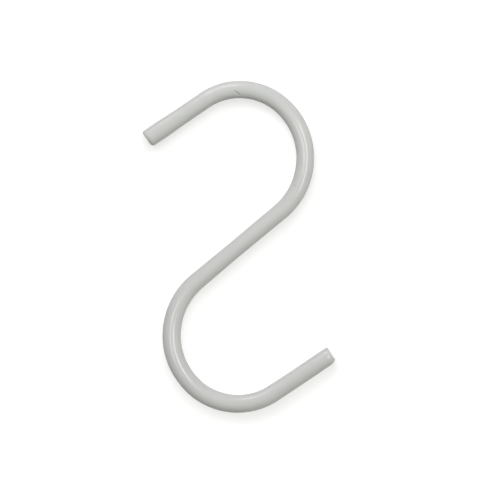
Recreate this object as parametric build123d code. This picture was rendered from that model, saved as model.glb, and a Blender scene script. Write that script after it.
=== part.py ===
from build123d import *
from math import atan2, degrees
import os

# S-hook bent from one length of round coated steel wire.
#
# The wire lies in one plane. From either tip it has a straight leg, a bend made of two tangent arcs,
# and then the straight slanting run that both halves share. The halves match when the hook is turned
# half round about its middle. It is modelled as it hangs: a rail bears on the upper seat, and the
# lower seat, which carries the load, is straight below it.
#
# Frame: millimetres, +Z up, +X across the hook, Y through the wire's plane, which is Y = 0.
# Origin: the upper seat, at the inside crest of the upper bend.

# Driving dimensions, in millimetres and degrees
wire_diameter = 4.0     # steel wire with its coat
run_length = 25.0       # straight run between the bends
run_bend_radius = 16.3  # centreline radius of the arc next to the run
run_bend_angle = 97.6   # turn of that arc
tip_bend_radius = 14.7  # centreline radius of the arc over the seat, which leads to the leg
tip_bend_angle = 76.6   # turn of that arc
leg_length = 16.3       # straight leg from the bend to the cut end
tip_round = 0.6         # edge round that the coat leaves on a cut end

# Worked out from the driving dimensions
wire_radius = wire_diameter / 2
seat_height = tip_bend_radius - wire_radius  # of the seat above the centre of its arc


def bend_and_leg(run):
    """Lays the upper bend and its leg on the end of the run.

    Returns the centreline edges in order, and the centre of the arc that holds the seat.
    """
    run_bend = JernArc(run @ 1, run % 1, run_bend_radius, run_bend_angle)
    tip_bend = JernArc(run_bend @ 1, run_bend % 1, tip_bend_radius, tip_bend_angle)
    leg = PolarLine(tip_bend @ 1, leg_length, direction=tip_bend % 1)
    return [run_bend, tip_bend, leg], tip_bend.center_point


def hanging_centreline():
    """Draws the S flat, turns it until it hangs plumb, and brings the upper seat to the origin."""
    run = Line((-run_length / 2, 0), (run_length / 2, 0))
    upper, seat_centre = bend_and_leg(run)
    lower = [Rot(Z=180) * edge for edge in upper]  # the upper half, turned half round
    flat = Wire([*lower, run, *upper])

    plumb = Rot(Z=90 - degrees(atan2(seat_centre.Y, seat_centre.X)))
    middle_below_seat = Pos(Y=-(seat_centre.length + seat_height))
    return Plane.XZ * middle_below_seat * plumb * flat


def coated_wire(centreline):
    """Sweeps the round wire along the centreline and rounds the edges of its two cut ends."""
    section = Plane(centreline @ 0, z_dir=centreline % 0) * Circle(wire_radius)
    wire = sweep(section, centreline)
    cut_ends = wire.faces().filter_by(GeomType.PLANE)
    return fillet(cut_ends.edges(), tip_round)


hook = coated_wire(hanging_centreline())
hook.label = "s_hook"

os.makedirs("parts", exist_ok=True)
export_step(hook, "parts/s_hook.step")
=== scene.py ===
"""Looks of the hanging S-hook: one length of round steel wire, bent into an S under a pale grey gloss coat.

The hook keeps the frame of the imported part: metres, +Z up, +X across the hook, and the wire's plane at
Y = 0. It is dressed as one piece, the coated wire, which follows the part's middle line and adds what a
real coat shows: sides that are fuller on the bends than on the straight run, a bead near the upper tip, a
lower end that the shears left uneven, soft waves, and a nick in the upper bend.
"""

import logging
import math
from dataclasses import dataclass, field
from enum import Enum

import bpy
import numpy as np
from mathutils import Matrix, Vector, noise


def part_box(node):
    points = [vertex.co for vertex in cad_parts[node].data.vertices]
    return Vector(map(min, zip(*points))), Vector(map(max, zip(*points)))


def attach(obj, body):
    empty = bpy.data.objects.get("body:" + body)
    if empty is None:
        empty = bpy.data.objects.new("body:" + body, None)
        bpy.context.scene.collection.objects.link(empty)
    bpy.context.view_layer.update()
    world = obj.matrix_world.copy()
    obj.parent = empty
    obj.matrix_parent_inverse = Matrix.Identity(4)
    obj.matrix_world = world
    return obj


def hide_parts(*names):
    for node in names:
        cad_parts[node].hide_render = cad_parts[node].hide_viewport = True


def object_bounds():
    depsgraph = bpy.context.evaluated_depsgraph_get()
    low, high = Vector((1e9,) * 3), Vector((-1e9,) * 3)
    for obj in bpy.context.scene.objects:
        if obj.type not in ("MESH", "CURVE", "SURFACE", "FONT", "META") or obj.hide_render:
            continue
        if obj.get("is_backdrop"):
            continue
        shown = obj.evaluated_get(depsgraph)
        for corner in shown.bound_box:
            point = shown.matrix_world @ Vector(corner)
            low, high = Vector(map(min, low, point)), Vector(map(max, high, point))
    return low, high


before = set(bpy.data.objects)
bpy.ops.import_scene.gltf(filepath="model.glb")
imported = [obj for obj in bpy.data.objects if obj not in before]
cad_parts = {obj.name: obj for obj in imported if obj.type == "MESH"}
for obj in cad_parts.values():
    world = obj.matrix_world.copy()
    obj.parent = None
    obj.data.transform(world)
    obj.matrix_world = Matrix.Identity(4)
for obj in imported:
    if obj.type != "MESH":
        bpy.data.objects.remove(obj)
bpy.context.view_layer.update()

MM = 0.001
HOOK_NODE = "s_hook"
HOOK_BODY = "root"
# Mesh layer of the nick's darkening: partly bared coat, partly painted shade on the pits' walls.
NICK_BARE_AND_SHADE_LAYER = "nick"
BAKE_MAP = "OFBake"

Colour = tuple[float, float, float]
Socket = bpy.types.NodeSocket

log = logging.getLogger("s_hook")


class Turn(Enum):
    """Which way a stretch of wire turns, seen from the front."""

    STRAIGHT = 0
    CLOCKWISE = -1
    ANTICLOCKWISE = 1


def smooth_step(share: np.ndarray) -> np.ndarray:
    """Eases a share from 0 to 1, with no slope at either end.

    Args:
        share: Values that are held to the range 0 to 1.

    Returns:
        The eased values.
    """
    held = np.clip(share, 0.0, 1.0)
    return held * held * (3.0 - 2.0 * held)


def hump(offset: np.ndarray, width: float) -> np.ndarray:
    """A round hump of height 1.

    Args:
        offset: Distance from the middle of the hump.
        width: Distance at which the hump has fallen to about a third.

    Returns:
        The height of the hump at each offset.
    """
    return np.exp(-((offset / width) ** 2))


def chord(along: np.ndarray, heading: float, curvature: float) -> np.ndarray:
    """The way from the start of a stretch of wire to points on it.

    Args:
        along: Distances from the start of the stretch.
        heading: Heading at the start, in radians.
        curvature: Turn per metre.

    Returns:
        Offsets of shape (n, 2).
    """
    half_turn = along * curvature / 2
    reach = along * np.sinc(half_turn / math.pi)
    return np.column_stack([reach * np.cos(heading + half_turn), reach * np.sin(heading + half_turn)])


def link(name: str, data: bpy.types.ID) -> bpy.types.Object:
    """Makes an object of some data and adds it to the scene.

    Args:
        name: Name of the object.
        data: A mesh, a lamp or a camera.

    Returns:
        The new object.
    """
    made = bpy.data.objects.new(name, data)
    bpy.context.scene.collection.objects.link(made)
    return made


@dataclass(frozen=True)
class NodeBench:
    """Adds shader nodes to one node tree and joins them."""

    tree: bpy.types.NodeTree

    def add(self, kind: str) -> bpy.types.Node:
        """Adds a node of a kind."""
        return self.tree.nodes.new(kind)

    def join(self, source: Socket, target: Socket) -> None:
        """Leads one socket into another."""
        self.tree.links.new(source, target)

    def noise(self, place: Socket, size: float, detail: float) -> Socket:
        """Adds soft noise with features of a given size.

        Args:
            place: The place on the object.
            size: Size of the features, in metres.
            detail: Octaves of finer noise.

        Returns:
            The noise, about 0 to 1.
        """
        texture = self.add("ShaderNodeTexNoise")
        texture.inputs["Scale"].default_value = 1.0 / size
        texture.inputs["Detail"].default_value = detail
        self.join(place, texture.inputs["Vector"])
        return texture.outputs["Fac"]

    def spread(self, value: Socket, low: float, high: float, first: float, last: float) -> Socket:
        """Stretches a range of values over another one, and holds the result to it.

        Args:
            value: The value to stretch.
            low: The value that gives first.
            high: The value that gives last.
            first: Start of the new range.
            last: End of the new range.

        Returns:
            The stretched value.
        """
        stretch = self.add("ShaderNodeMapRange")
        for name, bound in (("From Min", low), ("From Max", high), ("To Min", first), ("To Max", last)):
            stretch.inputs[name].default_value = bound
        self.join(value, stretch.inputs["Value"])
        return stretch.outputs["Result"]

    def mix(self, share: Socket, first: Socket | Colour, second: Colour) -> Socket:
        """Mixes two colours.

        Args:
            share: Share of the second colour.
            first: A colour, or the socket with it.
            second: The other colour.

        Returns:
            The mixed colour.
        """
        blend = self.add("ShaderNodeMix")
        blend.data_type = "RGBA"
        self.join(share, blend.inputs["Factor"])
        if isinstance(first, tuple):
            blend.inputs["A"].default_value = (*first, 1.0)
        else:
            self.join(first, blend.inputs["A"])
        blend.inputs["B"].default_value = (*second, 1.0)
        return blend.outputs["Result"]

    def background_rays(self) -> Socket:
        """Tells the rays that show the background: camera, glossy and transmission rays.

        Returns:
            1 for such rays and 0 for others.
        """
        path = self.add("ShaderNodeLightPath")
        found = path.outputs["Is Camera Ray"]
        for name in ("Is Glossy Ray", "Is Transmission Ray"):
            either = self.add("ShaderNodeMath")
            either.operation = "MAXIMUM"
            self.join(found, either.inputs[0])
            self.join(path.outputs[name], either.inputs[1])
            found = either.outputs["Value"]
        return found


@dataclass(frozen=True)
class Stretch:
    """One straight or evenly bent stretch of the wire's middle line."""

    turn: Turn
    length: float
    radius: float = math.inf

    @property
    def curvature(self) -> float:
        """Turn per metre, positive anticlockwise."""
        return self.turn.value / self.radius


@dataclass(frozen=True)
class WireLine:
    """The middle line of the wire, from the upper tip to the lower one, as it hangs.

    Stations are distances along the line from the upper tip.
    """

    run_length: float = 25.0 * MM
    run_bend_radius: float = 16.3 * MM
    run_bend_angle: float = math.radians(97.6)
    tip_bend_radius: float = 14.7 * MM
    tip_bend_angle: float = math.radians(76.6)
    upper_leg_length: float = 16.1 * MM
    lower_leg_length: float = 16.4 * MM

    def half(self, turn: Turn, leg_length: float) -> list[Stretch]:
        """One half of the S without the run, from its tip inwards.

        Args:
            turn: The way that this half bends.
            leg_length: Length of its straight leg.

        Returns:
            The leg and the two arcs.
        """
        return [
            Stretch(Turn.STRAIGHT, leg_length),
            Stretch(turn, self.tip_bend_radius * self.tip_bend_angle, self.tip_bend_radius),
            Stretch(turn, self.run_bend_radius * self.run_bend_angle, self.run_bend_radius),
        ]

    def stretches(self) -> list[Stretch]:
        """Lines up the stretches of both halves and the run.

        Returns:
            All stretches in order, from the upper tip to the lower one.
        """
        upper = self.half(Turn.CLOCKWISE, self.upper_leg_length)
        lower = self.half(Turn.ANTICLOCKWISE, self.lower_leg_length)
        return [*upper, Stretch(Turn.STRAIGHT, self.run_length), *reversed(lower)]

    @property
    def length(self) -> float:
        """Length of the wire along its middle line."""
        return sum(stretch.length for stretch in self.stretches())

    def middles(self) -> np.ndarray:
        """Stations half way along each stretch."""
        lengths = np.array([stretch.length for stretch in self.stretches()])
        return np.cumsum(lengths) - lengths / 2

    def draw(self, stations: np.ndarray) -> tuple[np.ndarray, np.ndarray]:
        """Walks the line with the upper leg along +X.

        Args:
            stations: Distances along the line, each from 0 to the wire's length.

        Returns:
            Points of shape (n, 2) and headings in radians.
        """
        points = np.zeros((len(stations), 2))
        headings = np.zeros(len(stations))
        start, heading, begun = np.zeros(2), 0.0, 0.0
        for stretch in self.stretches():
            here = stations >= begun
            along = stations[here] - begun
            points[here] = start + chord(along, heading, stretch.curvature)
            headings[here] = heading + along * stretch.curvature
            start = start + chord(np.array([stretch.length]), heading, stretch.curvature)[0]
            heading += stretch.length * stretch.curvature
            begun += stretch.length
        return points, headings

    def seat_centres(self) -> tuple[np.ndarray, np.ndarray]:
        """Finds the middles of the arcs that the hook hangs on and carries with.

        Returns:
            Centres of the upper and the lower arc, in the drawing of draw().
        """
        points, headings = self.draw(np.array([self.upper_leg_length, self.length - self.lower_leg_length]))
        left = np.column_stack([-np.sin(headings), np.cos(headings)])
        return points[0] - self.tip_bend_radius * left[0], points[1] + self.tip_bend_radius * left[1]

    def hang(self, stations: np.ndarray, middle: Vector) -> tuple[np.ndarray, np.ndarray]:
        """Walks the line as it hangs, with the lower seat straight below the upper one.

        Args:
            stations: Distances along the line.
            middle: The point half way along the run.

        Returns:
            Points of shape (n, 2), as X and Z, and headings in radians.
        """
        upper, lower = self.seat_centres()
        across, up = upper - lower
        plumb = math.pi / 2 - math.atan2(up, across)
        rotation = np.array([[math.cos(plumb), -math.sin(plumb)], [math.sin(plumb), math.cos(plumb)]])
        points, headings = self.draw(stations)
        hung = (points - (upper + lower) / 2) @ rotation.T
        return hung + np.array([middle.x, middle.z]), headings + plumb


@dataclass(frozen=True)
class GlossCoat:
    """Finish: pale grey gloss coat with faint mottling, orange peel, a few specks and a darker nick, partly
    bared coat and partly painted shade.
    """

    colour: Colour = (0.63, 0.63, 0.622)
    mottle_colour: Colour = (0.585, 0.59, 0.578)
    speck_colour: Colour = (0.3, 0.3, 0.285)
    # Darker colour in the nick: partly bared coat, partly painted shade on the pits' steep walls.
    nick_bare_and_shade_colour: Colour = (0.36, 0.37, 0.35)
    roughness_low: float = 0.1
    roughness_high: float = 0.17
    ior: float = 1.5
    mottle_size: float = 5.0 * MM
    mottle_detail: float = 3.0
    peel_size: float = 1.3 * MM
    peel_height: float = 0.006 * MM
    peel_detail: float = 2.0
    grain_size: float = 0.3 * MM
    grain_detail: float = 2.0
    speck_spacing: float = 3.2 * MM
    speck_radius: float = 0.09 * MM
    speck_fade: float = 0.09 * MM

    def material(self) -> bpy.types.Material:
        """Builds the coat's material, which reads the nick's layer of darkening (bared coat and painted
        shade) from the mesh that it dresses.

        Returns:
            The new material.
        """
        made = bpy.data.materials.new("gloss_coat")
        made.use_nodes = True
        bench = NodeBench(made.node_tree)
        shader = made.node_tree.nodes["Principled BSDF"]
        shader.inputs["IOR"].default_value = self.ior
        place = bench.add("ShaderNodeTexCoord").outputs["Object"]
        bench.join(self.tint(bench, place), shader.inputs["Base Color"])
        grain = bench.noise(place, self.grain_size, self.grain_detail)
        sheen = bench.spread(grain, 0.0, 1.0, self.roughness_low, self.roughness_high)
        bench.join(sheen, shader.inputs["Roughness"])
        relief = bench.add("ShaderNodeBump")
        relief.inputs["Distance"].default_value = self.peel_height
        bench.join(bench.noise(place, self.peel_size, self.peel_detail), relief.inputs["Height"])
        bench.join(relief.outputs["Normal"], shader.inputs["Normal"])
        return made

    def tint(self, bench: NodeBench, place: Socket) -> Socket:
        """Colours the coat: mottled, with a few specks, and darker in the nick, partly as bared coat and
        partly as painted shade on the pits' walls.

        Args:
            bench: Where the nodes are added.
            place: The place on the object.

        Returns:
            The coat's colour.
        """
        mottle = bench.noise(place, self.mottle_size, self.mottle_detail)
        mottled = bench.mix(mottle, self.colour, self.mottle_colour)
        speckled = bench.mix(self.specks(bench, place), mottled, self.speck_colour)
        # The nick's layer darkens the coat: bared coat, and painted shade on the pits' walls.
        nick = bench.add("ShaderNodeAttribute")
        nick.attribute_name = NICK_BARE_AND_SHADE_LAYER
        return bench.mix(nick.outputs["Fac"], speckled, self.nick_bare_and_shade_colour)

    def specks(self, bench: NodeBench, place: Socket) -> Socket:
        """Scatters a few tiny specks.

        Args:
            bench: Where the nodes are added.
            place: The place on the object.

        Returns:
            1 on a speck and 0 elsewhere.
        """
        cells = bench.add("ShaderNodeTexVoronoi")
        cells.inputs["Scale"].default_value = 1.0 / self.speck_spacing
        bench.join(place, cells.inputs["Vector"])
        inner = self.speck_radius / self.speck_spacing
        outer = (self.speck_radius + self.speck_fade) / self.speck_spacing
        return bench.spread(cells.outputs["Distance"], inner, outer, 1.0, 0.0)


@dataclass(frozen=True)
class Pit:
    """One pit of the nick: steep on the side of its wall, a ramp on the other.

    The wall's direction has a share along the wire and a share across it, positive to the right of the way
    along the wire. The slope, lip and darkened shares are shares of the pit's reach, and say where those
    lie.
    The floor share is the part of the depth that the pit's middle has, and the darkened floor share, once
    eased, is how far the coat is darkened there. The darkening leans to the wall and is partly bared coat,
    partly painted shade on the wall.
    """

    station: float
    angle: float
    half_length: float = 0.36 * MM
    half_width: float = 0.4 * MM
    depth: float = 0.15 * MM
    lip_height: float = 0.03 * MM
    wall_along: float = 0.35
    wall_across: float = -0.94
    slope_share: float = 0.45
    floor_share: float = 0.55
    lip_share: float = 1.2
    lip_width_share: float = 0.2
    # Where the darkening lies: partly bared coat, partly painted shade that leans to the wall in shade.
    bare_and_shade_share: float = 1.05
    bare_and_shade_fade_share: float = 0.5
    bare_and_shade_floor_share: float = 0.35

    def shape(
        self, stations: np.ndarray, angles: np.ndarray, radii: np.ndarray
    ) -> tuple[np.ndarray, np.ndarray]:
        """Height of the pit's surface over the coat, and how far the coat is darkened, as bared coat and
        painted shade.

        Args:
            stations: Distances along the wire, of shape (rings, 1).
            angles: Angles round the wire, of shape (1, angles).
            radii: Radii of the coat, of shape (rings, angles).

        Returns:
            Heights in metres and shares from 0 to 1, each of shape (rings, angles).
        """
        turn = (angles - self.angle + math.pi) % (2 * math.pi) - math.pi
        along, across = (stations - self.station) / self.half_length, radii * turn / self.half_width
        reach = np.hypot(along, across)
        towards_wall = along * self.wall_along + across * self.wall_across
        lean = np.clip(towards_wall, -1.0, 1.0)
        hollow = smooth_step((1.0 - reach) / self.slope_share)
        hollow = hollow * (self.floor_share + (1.0 - self.floor_share) * lean)
        facing = np.clip(towards_wall / np.maximum(reach, self.lip_width_share), 0.0, 1.0)
        lip = hump(reach - self.lip_share, self.lip_width_share) * facing
        # Darkening, strongest towards the wall: partly bared coat, partly painted shade where the wall lies
        # in shade.
        bare_and_shade = smooth_step((self.bare_and_shade_share - reach) / self.bare_and_shade_fade_share)
        bare_and_shade = bare_and_shade * smooth_step(self.bare_and_shade_floor_share + lean)
        return self.lip_height * lip - self.depth * hollow, bare_and_shade


@dataclass(frozen=True)
class Nick:
    """The nick in the coat of the upper bend: three pits in a slanting row."""

    pits: tuple[Pit, ...] = (
        Pit(station=23.75 * MM, angle=math.radians(20.0), depth=0.11 * MM),
        Pit(station=24.2 * MM, angle=math.radians(30.0)),
        Pit(station=24.62 * MM, angle=math.radians(40.0)),
    )
    margin: float = 0.5 * MM

    def span(self) -> tuple[float, float]:
        """Finds the stretch of wire that the nick reaches.

        Returns:
            Its first and its last station.
        """
        first = min(pit.station - pit.half_length for pit in self.pits)
        last = max(pit.station + pit.half_length for pit in self.pits)
        return first - self.margin, last + self.margin

    def shape(
        self, stations: np.ndarray, angles: np.ndarray, radii: np.ndarray
    ) -> tuple[np.ndarray, np.ndarray]:
        """Adds up the pits.

        Args:
            stations: Distances along the wire, of shape (rings, 1).
            angles: Angles round the wire, of shape (1, angles).
            radii: Radii of the coat, of shape (rings, angles).

        Returns:
            Heights in metres and shares of darkening (bared coat and painted shade), each of shape (rings,
            angles).
        """
        height, bare_and_shade = np.zeros_like(radii), np.zeros_like(radii)
        for pit in self.pits:
            pit_height, pit_bare_and_shade = pit.shape(stations, angles, radii)
            height = height + pit_height
            bare_and_shade = np.maximum(bare_and_shade, pit_bare_and_shade)
        return height, bare_and_shade


@dataclass(frozen=True)
class Sides:
    """Half widths of a stretch of coated wire, to the left and to the right of the way along it."""

    left: float
    right: float


@dataclass(frozen=True)
class CutEnd:
    """The form of one cut end of the wire: the soft edge of the coat, and what the shears left.

    The edge is tighter on the left and on the right of the way along the wire than in front and behind,
    where its round starts at the front reach from the cut. The bevel is on the right. The lean is how far
    the left side stands out past the right one, and the sag is how deep the cut lies along its middle, from
    front to back.
    """

    left_round: float
    right_round: float
    front_round: float
    front_reach: float
    lean: float
    sag: float
    bevel_length: float = 0.0
    bevel_depth: float = 0.0
    bevel_from_share: float = 0.25
    edge_rings: int = 12
    face_rings: int = 8

    @property
    def reach(self) -> float:
        """How far back from the cut the end's own form goes."""
        edge = max(self.left_round, self.right_round, self.front_reach, self.bevel_length)
        return edge + self.lean + self.sag

    def bevelled(self, angles: np.ndarray) -> np.ndarray:
        """Tells where round the wire the bevel lies.

        Args:
            angles: Angles round the wire from its front.

        Returns:
            The bevel's share at each angle, from 0 to 1.
        """
        if not self.bevel_length:
            return np.zeros_like(angles)
        return smooth_step((np.sin(angles) - self.bevel_from_share) / (1.0 - self.bevel_from_share))

    def rings(self, radii: np.ndarray, angles: np.ndarray) -> list[tuple[np.ndarray, np.ndarray]]:
        """Rings that close the end, from its side to near the middle of the cut.

        Args:
            radii: Radii of the last full ring.
            angles: Angles round the wire from its front.

        Returns:
            For each ring, its radii and its distances back from the cut.
        """
        bevelled, sideways = self.bevelled(angles), np.sin(angles)
        side_round = np.where(sideways > 0.0, self.right_round, self.left_round)
        edge_round = self.front_round + sideways**2 * (side_round - self.front_round)
        edge_reach = self.front_reach + sideways**2 * (side_round - self.front_reach)
        rings = []
        for step in np.linspace(0.0, 1.0, self.edge_rings):
            turn = step * math.pi / 2
            soft_in, soft_back = edge_round * (1 - math.cos(turn)), edge_reach * (1 - math.sin(turn))
            flat_in, flat_back = self.bevel_depth * step, self.bevel_length * (1 - step)
            inwards = soft_in + bevelled * (flat_in - soft_in)
            rings.append((radii - inwards, soft_back + bevelled * (flat_back - soft_back)))
        edge = rings[-1][0]
        for share in np.linspace(0.0, 1.0, self.face_rings, endpoint=False)[1:]:
            rings.append((edge * (1 - share), np.zeros_like(edge)))
        return [(ring, back + self.cut(ring * sideways / radii)) for ring, back in rings]

    def cut(self, across: np.ndarray) -> np.ndarray:
        """How far back the cut lies, for shares of the way from the middle to the right side."""
        return self.lean * (1 + across) / 2 + self.sag * (1 - across**2)


@dataclass
class CoatedWire:
    """The hook itself: the coated wire, swept along its middle line and closed at both cut ends."""

    line: WireLine = field(default_factory=WireLine)
    finish: GlossCoat = field(default_factory=GlossCoat)
    nick: Nick = field(default_factory=Nick)
    upper_end: CutEnd = CutEnd(
        left_round=0.6 * MM, right_round=0.85 * MM, front_round=0.65 * MM, front_reach=1.1 * MM,
        lean=0.12 * MM, sag=0.01 * MM,
    )
    lower_end: CutEnd = CutEnd(
        left_round=0.45 * MM, right_round=0.7 * MM, front_round=0.6 * MM, front_reach=1.7 * MM,
        lean=0.16 * MM, sag=0.06 * MM, bevel_length=1.0 * MM, bevel_depth=0.46 * MM,
    )
    wire_radius: float = 2.0 * MM
    front_radius: float = 1.97 * MM
    upper_leg: Sides = Sides(left=1.86 * MM, right=2.12 * MM)
    upper_tip_bend: Sides = Sides(left=2.0 * MM, right=2.07 * MM)
    upper_run_bend: Sides = Sides(left=2.03 * MM, right=2.13 * MM)
    run: Sides = Sides(left=1.86 * MM, right=1.99 * MM)
    lower_run_bend: Sides = Sides(left=2.13 * MM, right=2.16 * MM)
    lower_tip_bend: Sides = Sides(left=2.17 * MM, right=2.0 * MM)
    lower_leg: Sides = Sides(left=1.94 * MM, right=2.1 * MM)
    bead_station: float = 3.5 * MM
    bead_width: float = 4.2 * MM
    bead_height: float = 0.13 * MM
    wave_size: float = 4.0 * MM
    wave_height: float = 0.02 * MM
    ring_spacing: float = 0.3 * MM
    fine_spacing: float = 0.05 * MM
    around: int = 128
    map_rows: int = 3
    map_margin: float = 0.4 * MM
    map_row_inset: float = 0.8 * MM

    def stations(self) -> np.ndarray:
        """Places the full rings along the wire, closer together at the nick.

        Returns:
            The rings' distances along the line.
        """
        first, last = self.upper_end.reach, self.line.length - self.lower_end.reach
        even = np.linspace(first, last, round((last - first) / self.ring_spacing) + 1)
        nick_first, nick_last = self.nick.span()
        fine = np.arange(nick_first, nick_last, self.fine_spacing)
        away = (even < nick_first - self.fine_spacing) | (even > nick_last)
        return np.sort(np.concatenate([even[away], fine]))

    def half_widths(self, stations: np.ndarray) -> tuple[np.ndarray, np.ndarray]:
        """Half widths of the coated wire, eased from the middle of each stretch to the next.

        Args:
            stations: Distances along the line.

        Returns:
            Half widths to the left and to the right, one for each station.
        """
        stretches = (self.upper_leg, self.upper_tip_bend, self.upper_run_bend, self.run,
                     self.lower_run_bend, self.lower_tip_bend, self.lower_leg)
        middles = self.line.middles()
        after = np.clip(np.searchsorted(middles, stations), 1, len(middles) - 1)
        share = smooth_step((stations - middles[after - 1]) / (middles[after] - middles[after - 1]))
        bead = self.bead_height * hump(stations - self.bead_station, self.bead_width)
        left = np.array([sides.left for sides in stretches])
        right = np.array([sides.right for sides in stretches])
        return (
            left[after - 1] + share * (left[after] - left[after - 1]) + bead,
            right[after - 1] + share * (right[after] - right[after - 1]) + bead,
        )

    def surface(self, stations: np.ndarray, angles: np.ndarray) -> tuple[np.ndarray, np.ndarray]:
        """Radius of the coated wire at each station and angle, and how far its coat is darkened in the
        nick, as bared coat and painted shade.

        Args:
            stations: Distances along the line, one for each ring.
            angles: Angles round the wire from its front, positive to the right of the way along it.

        Returns:
            Radii and shares of darkening, each of shape (rings, angles).
        """
        left, right = self.half_widths(stations)
        depth = np.minimum((left + right) / 2, self.front_radius)
        sideways = np.sin(angles)[None, :]
        side = np.where(sideways > 0.0, right[:, None], left[:, None])
        radii = depth[:, None] + sideways**2 * (side - depth[:, None])
        height, bare_and_shade = self.nick.shape(stations[:, None], angles[None, :], radii)
        return radii + height, bare_and_shade

    def waves(self, points: np.ndarray) -> np.ndarray:
        """Soft hollows that the coat dried with.

        Args:
            points: Points of shape (n, 3).

        Returns:
            A height for each point, zero or less.
        """
        swell = np.array([noise.noise(Vector(point) / self.wave_size) for point in points])
        return self.wave_height * (swell - 1.0) / 2

    def build(self, middle: Vector) -> bpy.types.Object:
        """Makes the mesh of the coated wire.

        Args:
            middle: The point half way along the run.

        Returns:
            The new object, in the row frame.
        """
        angles = np.linspace(0.0, 2 * math.pi, self.around, endpoint=False)
        stations = self.stations()
        radii, bare_and_shade = self.surface(stations, angles)
        upper = self.upper_end.rings(radii[0], angles)
        lower = self.lower_end.rings(radii[-1], angles)
        ring_radii = [*(ring for ring, _ in reversed(upper)), *radii, *(ring for ring, _ in lower)]
        ring_stations = [
            *(back for _, back in reversed(upper)),
            *(np.full_like(angles, station) for station in stations),
            *(self.line.length - back for _, back in lower),
        ]
        # The end rings get no darkening; the nick's bared coat and painted shade lie between them.
        bare_and_shade_upper, bare_and_shade_lower = np.zeros((len(upper), self.around)), np.zeros((len(lower), self.around))
        points = self.place(np.array(ring_stations), np.array(ring_radii), angles, middle)
        made = self.mesh(points, np.vstack([bare_and_shade_upper, bare_and_shade, bare_and_shade_lower]).ravel())
        steps_along = np.diff(np.mean(ring_stations, axis=1))
        steps_across = np.diff(np.mean(ring_radii, axis=1))
        self.unwrap(made, np.append(0.0, np.cumsum(np.hypot(steps_along, steps_across))))
        return link("coated_wire", made)

    def place(
        self, stations: np.ndarray, radii: np.ndarray, angles: np.ndarray, middle: Vector
    ) -> np.ndarray:
        """Puts the rings in their places in the row frame.

        Args:
            stations: Distances along the line, of shape (rings, angles).
            radii: Distances from the line, of the same shape.
            angles: Angles round the wire from its front.
            middle: The point half way along the run.

        Returns:
            Points of shape (rings * angles, 3).
        """
        flat = stations.ravel()
        line, headings = self.line.hang(flat, middle)
        out = np.tile(angles, len(stations))
        right = np.column_stack([np.sin(headings), np.zeros_like(headings), -np.cos(headings)])
        front = np.array([0.0, -1.0, 0.0])
        outward = np.cos(out)[:, None] * front + np.sin(out)[:, None] * right
        core = np.column_stack([line[:, 0], np.full(len(flat), middle.y), line[:, 1]])
        points = core + radii.ravel()[:, None] * outward
        return points + (self.waves(points) * radii.ravel() / self.wire_radius)[:, None] * outward

    def mesh(self, points: np.ndarray, bare_and_shade: np.ndarray) -> bpy.types.Mesh:
        """Joins the rings into one closed, smooth mesh.

        Args:
            points: Points ring by ring, of shape (rings * angles, 3).
            bare_and_shade: How far the coat is darkened at each point, as bared coat and painted shade.

        Returns:
            The mesh: the quads between the rings, then the triangles that close the two ends.
        """
        rings = len(points) // self.around
        index = np.arange(rings * self.around).reshape(rings, self.around)
        here, there = index[:-1], index[1:]
        quads = np.stack([here, there, np.roll(there, -1, axis=1), np.roll(here, -1, axis=1)], axis=-1)
        faces = quads.reshape(-1, 4).tolist()
        tips = np.array([points[index[0]].mean(axis=0), points[index[-1]].mean(axis=0)])
        upper_tip, lower_tip = len(points), len(points) + 1
        first, last = index[0].tolist(), index[-1].tolist()
        faces += [[upper_tip, here, after] for here, after in zip(first, first[1:] + first[:1])]
        faces += [[lower_tip, after, here] for here, after in zip(last, last[1:] + last[:1])]
        made = bpy.data.meshes.new("coated_wire")
        made.from_pydata(np.vstack([points, tips]).tolist(), [], faces)
        made.polygons.foreach_set("use_smooth", [True] * len(made.polygons))
        # Layer of the nick's darkening: partly bared coat, partly painted shade.
        layer = made.attributes.new(NICK_BARE_AND_SHADE_LAYER, "FLOAT", "POINT")
        layer.data.foreach_set("value", np.append(bare_and_shade, [0.0, 0.0]).astype(np.float32))
        made.update()
        return made

    def unwrap(self, made: bpy.types.Mesh, travelled: np.ndarray) -> None:
        """Lays the coat out flat for baking, in rows one above the other, with the seam at the wire's back.

        Args:
            made: The mesh that mesh() made.
            travelled: Way over the surface from the first ring to each ring.
        """
        girth = 2 * math.pi * self.wire_radius
        step_girth = girth / self.around
        row_length = travelled[-1] / self.map_rows
        row_height = girth + self.map_margin
        map_width = row_length + self.ring_spacing + 2 * self.map_row_inset
        side = max(map_width, self.map_rows * row_height + self.map_margin)
        row = np.minimum(travelled[:-1] // row_length, self.map_rows - 1)
        begun = row * row_length - self.map_row_inset
        low = (np.arange(self.around) + self.around // 2) % self.around * step_girth + self.map_margin
        here, there = (travelled[:-1] - begun)[:, None], (travelled[1:] - begun)[:, None]
        below = row[:, None] * row_height + low[None, :]
        above = below + step_girth
        here, there = np.broadcast_to(here, below.shape), np.broadcast_to(there, below.shape)
        quads = np.stack([here, below, there, below, there, above, here, above], axis=-1)
        first, last = np.full(self.around, here[0, 0]), np.full(self.around, there[-1, 0])
        upper_tip = (first - self.map_margin, below[0] + step_girth / 2)
        lower_tip = (last + self.map_margin, below[-1] + step_girth / 2)
        upper = np.stack([*upper_tip, first, below[0], first, above[0]], axis=-1)
        lower = np.stack([*lower_tip, last, above[-1], last, below[-1]], axis=-1)
        layer = made.uv_layers.new(name=BAKE_MAP)
        flat = np.concatenate([quads.ravel(), upper.ravel(), lower.ravel()]) / side
        layer.uv.foreach_set("vector", flat.astype(np.float32))

    def dress(self, piece: bpy.types.Object) -> bpy.types.Object:
        """Gives the wire its coat and its place in the part.

        Args:
            piece: The object that build() made.

        Returns:
            The same object.
        """
        piece.data.materials.append(self.finish.material())
        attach(piece, HOOK_BODY)
        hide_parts(HOOK_NODE)
        return piece


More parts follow.
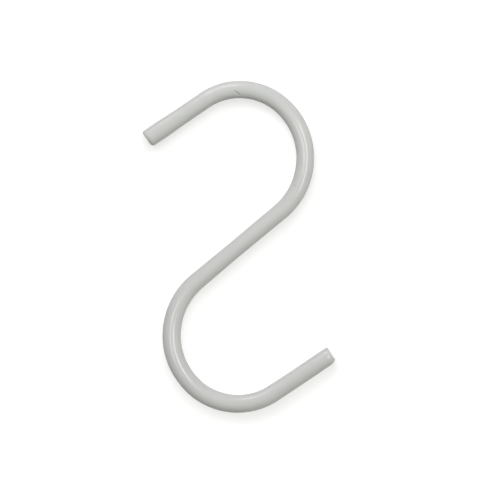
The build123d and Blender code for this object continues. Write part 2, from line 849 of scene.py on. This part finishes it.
@dataclass(frozen=True)
class PaleSheet:
    """Finish: a pale matt sheet that shows near white, keeps shadows and is seen from its front alone.

    Its own light is the upper lift down to the upper height, and grows from there to the lower lift at the
    lower height.
    """

    colour: Colour = (0.66, 0.66, 0.66)
    upper_lift: float = 0.465
    lower_lift: float = 0.505
    upper_height: float = -10.0 * MM
    lower_height: float = -95.0 * MM

    def lift(self, bench: NodeBench) -> Socket:
        """The sheet's own light, less at the top, where the near lamp already lights the sheet more.

        Args:
            bench: Where the nodes are added.

        Returns:
            The strength of that light, which is 0 for rays that don't show the background.
        """
        parts = bench.add("ShaderNodeSeparateXYZ")
        bench.join(bench.add("ShaderNodeTexCoord").outputs["Object"], parts.inputs["Vector"])
        heights, lifts = (self.lower_height, self.upper_height), (self.lower_lift, self.upper_lift)
        graded = bench.spread(parts.outputs["Z"], *heights, *lifts)
        seen = bench.add("ShaderNodeMath")
        seen.operation = "MULTIPLY"
        bench.join(graded, seen.inputs[0])
        bench.join(bench.background_rays(), seen.inputs[1])
        return seen.outputs["Value"]

    def material(self) -> bpy.types.Material:
        """Builds the sheet's material, with some light of its own for rays that show the background.

        Returns:
            The new material.
        """
        made = bpy.data.materials.new("pale_sheet")
        made.use_nodes = True
        nodes = made.node_tree.nodes
        nodes.remove(nodes["Principled BSDF"])
        bench = NodeBench(made.node_tree)
        matt = bench.add("ShaderNodeBsdfDiffuse")
        matt.inputs["Color"].default_value = (*self.colour, 1.0)
        glow = bench.add("ShaderNodeEmission")
        bench.join(self.lift(bench), glow.inputs["Strength"])
        both = bench.add("ShaderNodeAddShader")
        bench.join(matt.outputs["BSDF"], both.inputs[0])
        bench.join(glow.outputs["Emission"], both.inputs[1])
        one_sided = bench.add("ShaderNodeMixShader")
        bench.join(bench.add("ShaderNodeNewGeometry").outputs["Backfacing"], one_sided.inputs["Fac"])
        bench.join(both.outputs["Shader"], one_sided.inputs[1])
        bench.join(bench.add("ShaderNodeBsdfTransparent").outputs["BSDF"], one_sided.inputs[2])
        bench.join(one_sided.outputs["Shader"], nodes["Material Output"].inputs["Surface"])
        return made


def lamp_place(middle: Vector, bearing: float, tilt: float, distance: float) -> Matrix:
    """Place of a lamp that faces the hook's middle.

    Args:
        middle: The hook's middle.
        bearing: Degrees anticlockwise from +X, seen from the front.
        tilt: Degrees from the front, so that a lamp at 0 shines straight from the viewer.
        distance: Distance from the hook's middle.

    Returns:
        The lamp's place and heading in the row frame.
    """
    around, away = math.radians(bearing), math.radians(tilt)
    sideways = math.sin(away)
    source = Vector((sideways * math.cos(around), -math.cos(away), sideways * math.sin(around)))
    facing = source.to_track_quat("Z", "Y").to_matrix().to_4x4()
    return Matrix.Translation(middle + distance * source) @ facing


class LampUse(Enum):
    """What a lamp is there for: to light the coat and the sheet, or to be mirrored in the gloss."""

    LIGHT = "light"
    GLINT = "glint"

    def set_on(self, lamp: bpy.types.Object) -> None:
        """Lets the lamp reach the kind of rays that its use needs."""
        lamp.visible_diffuse = self is LampUse.LIGHT
        lamp.visible_glossy = self is LampUse.GLINT


@dataclass(frozen=True)
class SoftLamp:
    """A round lamp far away that lights the hook: its spread is the angle that it fills, in degrees.

    It shines as from far away wherever it stands, so the distance only keeps it clear of the hook.
    """

    name: str
    bearing: float
    tilt: float
    spread: float
    strength: float
    distance: float = 1.0
    colour: Colour = (1.0, 1.0, 1.0)

    def build(self, middle: Vector) -> bpy.types.Object:
        """Makes the lamp and turns it towards the hook.

        Args:
            middle: The hook's middle.

        Returns:
            The new lamp.
        """
        data = bpy.data.lights.new(self.name, "SUN")
        data.energy, data.color = self.strength, self.colour
        data.angle = math.radians(self.spread)
        made = link(self.name, data)
        made.matrix_world = lamp_place(middle, self.bearing, self.tilt, self.distance)
        LampUse.LIGHT.set_on(made)
        return made


@dataclass(frozen=True)
class NearLamp:
    """A square or a strip of light near the hook. As a glint, it draws a thin bright line along the gloss.

    It stands upright, or is turned in its own plane by some degrees anticlockwise.
    """

    name: str
    bearing: float
    tilt: float
    power: float
    width: float
    height: float
    turned: float = 0.0
    distance: float = 1.5
    colour: Colour = (1.0, 1.0, 1.0)
    use: LampUse = LampUse.GLINT

    def build(self, middle: Vector) -> bpy.types.Object:
        """Makes the lamp and turns it towards the hook.

        Args:
            middle: The hook's middle.

        Returns:
            The new lamp.
        """
        data = bpy.data.lights.new(self.name, "AREA")
        data.energy, data.color, data.shape = self.power, self.colour, "RECTANGLE"
        data.size, data.size_y = self.width, self.height
        made = link(self.name, data)
        turn = Matrix.Rotation(math.radians(self.turned), 4, "Z")
        made.matrix_world = lamp_place(middle, self.bearing, self.tilt, self.distance) @ turn
        self.use.set_on(made)
        return made


@dataclass
class Studio:
    """What the hook is shown in: a pale sheet just behind it, a few lamps and a white room."""

    sheet_finish: PaleSheet = field(default_factory=PaleSheet)
    sheet_half_size: float = 1.5
    sheet_gap: float = 0.6 * MM
    room_colour: Colour = (1.0, 1.0, 1.0)
    lamps: tuple[SoftLamp | NearLamp, ...] = (
        SoftLamp("front", bearing=130.0, tilt=10.0, spread=80.0, strength=1.8, colour=(0.99, 1.0, 0.93)),
        SoftLamp("key", bearing=140.0, tilt=50.0, spread=30.0, strength=0.46, colour=(0.82, 0.79, 1.0)),
        SoftLamp("right_side", bearing=0.0, tilt=90.0, spread=60.0, strength=0.78,
                 colour=(0.92, 0.94, 1.0)),
        SoftLamp("low_side", bearing=330.0, tilt=90.0, spread=60.0, strength=0.62,
                 colour=(1.0, 0.99, 0.9)),
        SoftLamp("upper_side", bearing=90.0, tilt=90.0, spread=60.0, strength=0.97,
                 colour=(0.97, 0.93, 1.0)),
        SoftLamp("back", bearing=90.0, tilt=180.0, spread=30.0, strength=2.3),
        NearLamp("near_top", bearing=90.0, tilt=35.0, power=0.094, width=0.1, height=0.1, distance=0.2,
                 colour=(0.96, 1.0, 0.98), use=LampUse.LIGHT),
        NearLamp("right_strip", bearing=14.0, tilt=20.5, power=4.7, width=0.3, height=0.6),
        NearLamp("left_strip", bearing=184.0, tilt=16.0, power=2.5, width=0.3, height=0.42),
        NearLamp("upper_strip", bearing=109.0, tilt=61.0, power=4.2, width=0.8, height=0.17, turned=30.0),
    )

    def build(self, middle: Vector, back: float) -> None:
        """Makes the sheet, the lamps and the room.

        Args:
            middle: The hook's middle, which the lamps face.
            back: The hook's furthest point along +Y, which the sheet lies just behind.
        """
        self.sheet(back + self.sheet_gap)
        for lamp in self.lamps:
            lamp.build(middle)
        self.room()

    def sheet(self, depth: float) -> bpy.types.Object:
        """Makes the pale sheet, which shows the hook's shadow and throws no light back on the hook.

        Args:
            depth: Its place along Y.

        Returns:
            The new object, marked as stage.
        """
        reach = self.sheet_half_size
        corners = [
            (-reach, depth, -reach), (reach, depth, -reach), (reach, depth, reach), (-reach, depth, reach),
        ]
        made = bpy.data.meshes.new("pale_sheet")
        made.from_pydata(corners, [], [(0, 1, 2, 3)])
        made.materials.append(self.sheet_finish.material())
        sheet = link("pale_sheet", made)
        sheet.visible_shadow = sheet.visible_diffuse = sheet.visible_glossy = False
        sheet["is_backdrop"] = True
        return sheet

    def room(self) -> None:
        """Makes the room: white where it is seen, and no light of its own."""
        world = bpy.data.worlds.new("white_room")
        bpy.context.scene.world = world
        world.use_nodes = True
        walls = world.node_tree.nodes["Background"]
        walls.inputs["Color"].default_value = (*self.room_colour, 1.0)
        bench = NodeBench(world.node_tree)
        bench.join(bench.background_rays(), walls.inputs["Strength"])


@dataclass(frozen=True)
class PictureCamera:
    """The camera, square on to the wire's plane, framed so that the hook lies as in the picture.

    The hook's middle is in the picture at middle_px, from the top left corner. The wire is wire_px wide
    there, which stands for wire_width.
    """

    width_px: float = 498.0
    height_px: float = 500.0
    middle_px: tuple[float, float] = (238.625, 246.833)
    wire_px: float = 17.3
    wire_width: float = 4.0 * MM
    distance: float = 0.6
    roll: float = math.radians(0.65)
    sensor: float = 36.0 * MM

    @property
    def pixel(self) -> float:
        """Size of one pixel of the picture at the wire's plane."""
        return self.wire_width / self.wire_px

    def build(self, middle: Vector) -> bpy.types.Object:
        """Makes the camera and hands it to the scene.

        Args:
            middle: The hook's middle.

        Returns:
            The camera.
        """
        data = bpy.data.cameras.new("picture_camera")
        data.sensor_width = self.sensor / MM
        seen = max(self.width_px, self.height_px) * self.pixel
        data.lens = data.sensor_width * self.distance / seen
        made = link("picture_camera", data)
        turn = Matrix.Rotation(math.pi / 2, 4, "X") @ Matrix.Rotation(self.roll, 4, "Z")
        right = (self.width_px / 2 - self.middle_px[0]) * self.pixel
        down = (self.height_px / 2 - self.middle_px[1]) * self.pixel
        back = Matrix.Translation((right, -down, self.distance))
        made.matrix_world = Matrix.Translation(middle) @ turn @ back
        bpy.context.scene.camera = made
        return made


def main() -> None:
    """Builds the hook, its studio and its camera, in that order."""
    logging.basicConfig(level=logging.INFO, format="%(message)s")
    bpy.context.scene.view_settings.view_transform = "Standard"
    low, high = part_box(HOOK_NODE)
    middle = (low + high) / 2

    hook = CoatedWire()
    piece = hook.dress(hook.build(middle))
    log.info("%s: %d faces, replaces %s", piece.name, len(piece.data.polygons), HOOK_NODE)

    _, dressed_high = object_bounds()
    studio = Studio()
    studio.build(middle, dressed_high.y)
    log.info("studio: a pale sheet and %d lamps", len(studio.lamps))
    camera = PictureCamera().build(middle)
    log.info("%s: lens %.1f mm", camera.name, camera.data.lens)


if __name__ == "__main__":
    main()
